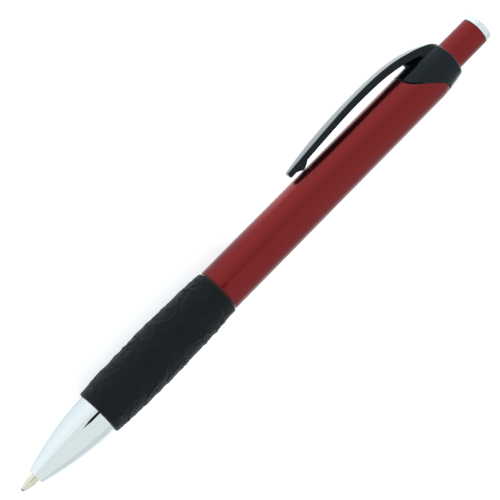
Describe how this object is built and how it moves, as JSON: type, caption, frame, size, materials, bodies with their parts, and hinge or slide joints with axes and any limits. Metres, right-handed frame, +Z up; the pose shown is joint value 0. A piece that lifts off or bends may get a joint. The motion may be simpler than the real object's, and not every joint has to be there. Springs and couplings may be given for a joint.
{
  "type": "retractable ballpoint pen",
  "caption": "Click pen with a chrome nose, a soft textured grip, a satin barrel, a curved side clip on a glossy cap and a push button that drives a spring-loaded refill through a rotating cam.",
  "frame": {"origin": "centre of the bounding box's bottom face, on the table that the pen lies on", "axes": "+X along the pen towards the writing ball, +Z up; the clip points towards -Y and 26.8 degrees down, so the pen rests on its grip and on the clip's edge"},
  "size_m": [0.1433, 0.0156, 0.0125],
  "materials": {
    "red_metallic": "satin",
    "grip_rubber": "matte",
    "bright_chrome": "polished",
    "black_gloss": "gloss",
    "cam_plastic": "satin",
    "tube_plastic": "gloss",
    "ink": "gloss",
    "nickel_silver": "polished",
    "carbide": "polished",
    "spring_steel": "polished"
  },
  "bodies": {
    "barrel": {"barrel": "red_metallic", "grip_sleeve": "grip_rubber", "cap_collar": "black_gloss", "cam_sleeve": "cam_plastic"},
    "nose": {"nose_cone": "bright_chrome"},
    "clip": {"clip_arm": "black_gloss"},
    "plunger": {"plunger_shell": "red_metallic", "thrust_crown": "cam_plastic", "button_cap": "bright_chrome"},
    "refill": {"refill_tube": "tube_plastic", "ink_column": "ink", "refill_plug": "cam_plastic", "point_holder": "cam_plastic", "writing_point": "nickel_silver", "return_spring": "spring_steel"},
    "rotor": {"cam_rotor": "cam_plastic"},
    "ball": {"writing_ball": "carbide"}
  },
  "joints": [
    {"name": "click_slide", "type": "slide", "parent": "barrel", "child": "plunger", "axis": [1, 0, 0], "range_m": [-0.0055, 0.0008]},
    {"name": "refill_slide", "type": "slide", "parent": "barrel", "child": "refill", "axis": [1, 0, 0], "range_m": [-0.00555, 0.00085], "deforming": ["return_spring"]},
    {"name": "cam_turn", "type": "hinge", "parent": "refill", "child": "rotor", "pos_m": [0, 0.00153, 0.00625], "axis": [1, 0, 0], "range_deg": [-46, 7.5]},
    {"name": "clip_flex", "type": "hinge", "parent": "barrel", "child": "clip", "pos_m": [-0.05395, -0.0048, 0.00306], "axis": [0, 0.4505, -0.8928], "range_deg": [0, 4], "stiffness_Nm_per_rad": 1.5},
    {"name": "nose_draw_off", "type": "slide", "parent": "barrel", "child": "nose", "axis": [1, 0, 0], "range_m": [0, 0.012]},
    {"name": "ball_roll", "type": "hinge", "parent": "refill", "child": "ball", "pos_m": [0.07115, 0.00153, 0.00625], "axis": [0, 1, 0], "continuous": true}
  ],
  "couplings": [
    {"joint": "refill_slide", "follows": "click_slide", "ratio": 1},
    {"joint": "cam_turn", "follows": "click_slide", "rad_per_m": 142.8}
  ]
}
